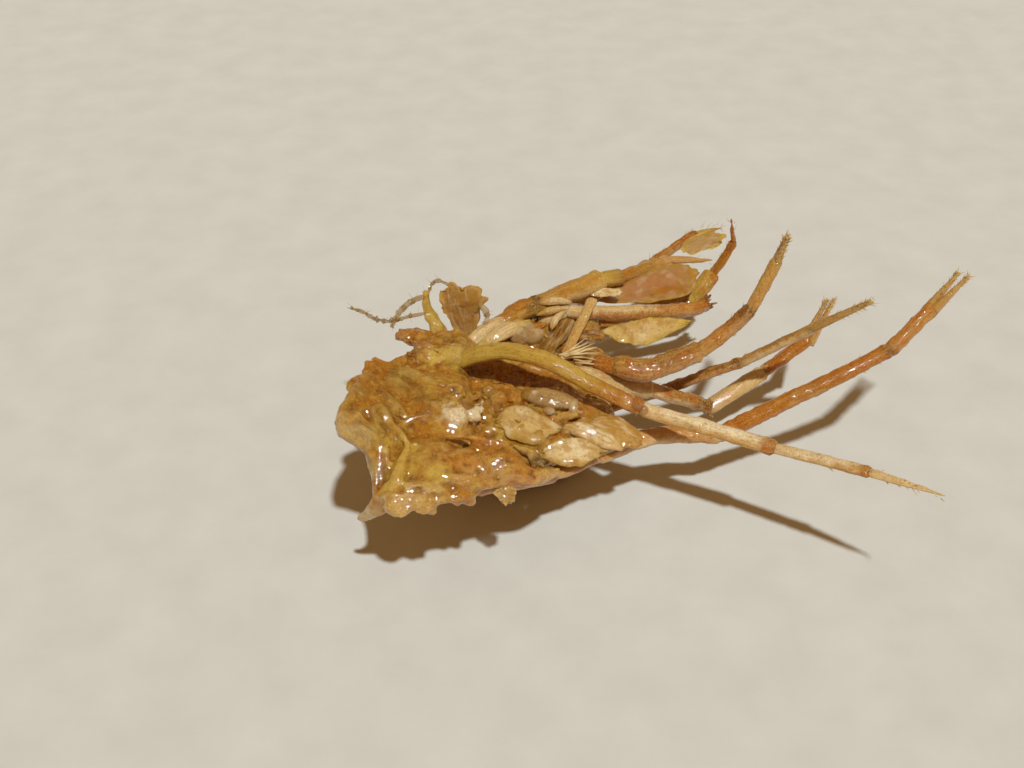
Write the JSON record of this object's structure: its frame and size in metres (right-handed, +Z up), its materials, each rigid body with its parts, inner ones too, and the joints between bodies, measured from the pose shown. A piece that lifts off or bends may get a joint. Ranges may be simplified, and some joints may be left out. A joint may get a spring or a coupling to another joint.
{
  "type": "deep-fried kuruma prawn head",
  "caption": "Deep-fried prawn head lying belly side up on its back, the walking legs fanned out to one side and a torn pale sheet of batter behind.",
  "frame": {"origin": "on the ground, in the small flat under the back keel on which the head rests", "axes": "+Z up, +X along the fanned legs away from the torn rear, +Y from the near row of legs to the far row"},
  "size_m": [0.0642, 0.0523, 0.0257],
  "materials": {
    "crust": "oily golden brown fried flesh and batter",
    "pale_batter": "thin glossy pale yellow batter",
    "shell": "oily orange brown leg shell",
    "straw": "dry straw coloured leg shell with a slight shine",
    "olive": "thin olive yellow gill tissue, oily"
  },
  "bodies": {
    "root": {"thorax": "crust", "tail_membrane": "pale_batter", "leg_near_1_upper": "shell", "leg_near_1_lower": "shell", "leg_near_2_upper": "shell", "leg_near_2_lower": "shell", "leg_near_3_upper": "shell", "leg_near_3_lower": "shell", "leg_near_4_upper": "straw", "leg_near_4_lower": "shell", "leg_near_5_upper": "crust", "leg_near_5_lower": "straw", "leg_far_1": "shell", "leg_far_2": "straw", "leg_far_3_upper": "shell", "leg_far_3_lower": "shell", "leg_far_4_upper": "shell", "leg_far_4_lower": "shell", "leg_far_5_upper": "shell", "leg_far_5_lower": "shell", "maxilliped_far": "straw", "maxilliped_near": "straw", "gill_branch": "olive", "gill_leaf": "olive"}
  },
  "joints": []
}
